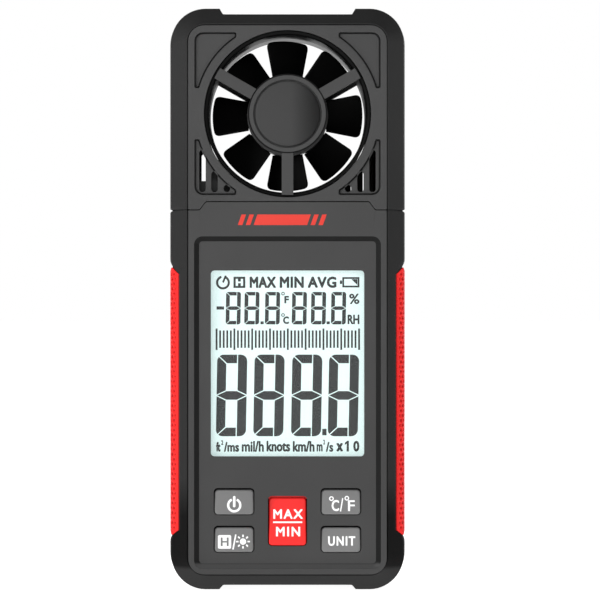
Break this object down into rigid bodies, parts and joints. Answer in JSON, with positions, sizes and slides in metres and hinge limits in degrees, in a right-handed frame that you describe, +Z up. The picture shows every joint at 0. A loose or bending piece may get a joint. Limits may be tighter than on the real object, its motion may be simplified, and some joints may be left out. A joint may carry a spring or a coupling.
{
  "type": "handheld weather meter",
  "caption": "Slim handheld vane anemometer with a fan head, large segment display, key pad, side grips and a battery door at the back.",
  "frame": {"origin": "middle of the feet, under the centre of the case", "axes": "+Z up along the long side towards the fan, -Y out of the display face, +X to the viewer's right of the display"},
  "size_m": [0.0632, 0.03, 0.1558],
  "materials": {
    "dark_grey_abs": "fine matt moulded",
    "bumper_rubber": "matt overmoulded",
    "red_grip_rubber": "matt, dotted",
    "black_abs": "smooth",
    "grey_key_plastic": "satin, white legends",
    "red_key_plastic": "satin, white legends",
    "clear_window": "clear acrylic",
    "lcd_glass": "pale positive display",
    "white_plastic": "satin",
    "green_board": "solder mask",
    "black_component": "satin",
    "silicone": "soft matt",
    "foam": "closed cell foam",
    "zinc_steel": "zinc plated",
    "magnet": "nickel plated",
    "bearing_brass": "turned",
    "cell_wrap": "plain printed sleeve",
    "red_wire": "insulation",
    "black_wire": "insulation"
  },
  "bodies": {
    "housing": {"head_front_cover": "dark_grey_abs", "head_rear_cover": "dark_grey_abs", "head_bumper": "bumper_rubber", "fan_housing_front": "black_abs", "fan_housing_rear": "black_abs", "hub_cap": "dark_grey_abs", "front_bearing": "bearing_brass", "rear_bearing": "bearing_brass", "hall_sensor": "black_component", "sensor_board": "green_board", "humidity_sensor": "white_plastic", "sensor_lead": "black_wire", "front_cover": "dark_grey_abs", "rear_cover": "dark_grey_abs", "body_bumper": "bumper_rubber", "grip_left": "red_grip_rubber", "grip_right": "red_grip_rubber", "display_window": "clear_window", "window_gasket": "foam", "lcd_frame": "white_plastic", "lcd_glass": "lcd_glass", "backlight": "white_plastic", "zebra_strip_top": "silicone", "zebra_strip_bottom": "silicone", "main_pcb": "green_board", "controller_chip": "black_component", "buzzer": "black_component", "keypad_mat": "silicone", "battery_1": "cell_wrap", "battery_plate_1": "zinc_steel", "battery_spring_1": "zinc_steel", "battery_2": "cell_wrap", "battery_plate_2": "zinc_steel", "battery_spring_2": "zinc_steel", "battery_3": "cell_wrap", "battery_plate_3": "zinc_steel", "battery_spring_3": "zinc_steel", "battery_lead_red": "red_wire", "battery_lead_black": "black_wire", "case_screw_1": "zinc_steel", "case_screw_2": "zinc_steel", "case_screw_3": "zinc_steel", "case_screw_4": "zinc_steel", "head_screw_1": "zinc_steel", "head_screw_2": "zinc_steel", "pcb_screw_1": "zinc_steel", "pcb_screw_2": "zinc_steel", "pcb_screw_3": "zinc_steel", "pcb_screw_4": "zinc_steel"},
    "rotor": {"impeller": "black_abs", "rotor_shaft": "zinc_steel", "rotor_magnet": "magnet"},
    "key_power": {"button_power": "grey_key_plastic"},
    "key_hold": {"button_hold": "grey_key_plastic"},
    "key_max_min": {"button_max_min": "red_key_plastic"},
    "key_temperature": {"button_temperature": "grey_key_plastic"},
    "key_unit": {"button_unit": "grey_key_plastic"},
    "door": {"battery_door": "dark_grey_abs"}
  },
  "joints": [
    {"name": "rotor_spin", "type": "hinge", "parent": "housing", "child": "rotor", "pos_m": [0, 0, 0.127], "axis": [0, 1, 0], "continuous": true},
    {"name": "key_power_press", "type": "slide", "parent": "housing", "child": "key_power", "axis": [0, 1, 0], "range_m": [0, 0.0008], "stiffness_N_per_m": 600, "deforming": ["keypad_mat"]},
    {"name": "key_hold_press", "type": "slide", "parent": "housing", "child": "key_hold", "axis": [0, 1, 0], "range_m": [0, 0.0008], "stiffness_N_per_m": 600, "deforming": ["keypad_mat"]},
    {"name": "key_max_min_press", "type": "slide", "parent": "housing", "child": "key_max_min", "axis": [0, 1, 0], "range_m": [0, 0.0008], "stiffness_N_per_m": 600, "deforming": ["keypad_mat"]},
    {"name": "key_temperature_press", "type": "slide", "parent": "housing", "child": "key_temperature", "axis": [0, 1, 0], "range_m": [0, 0.0008], "stiffness_N_per_m": 600, "deforming": ["keypad_mat"]},
    {"name": "key_unit_press", "type": "slide", "parent": "housing", "child": "key_unit", "axis": [0, 1, 0], "range_m": [0, 0.0008], "stiffness_N_per_m": 600, "deforming": ["keypad_mat"]},
    {"name": "door_hinge", "type": "hinge", "parent": "housing", "child": "door", "pos_m": [0, 0.0141, 0.02805], "axis": [-1, 0, 0], "range_deg": [0, 75]}
  ]
}
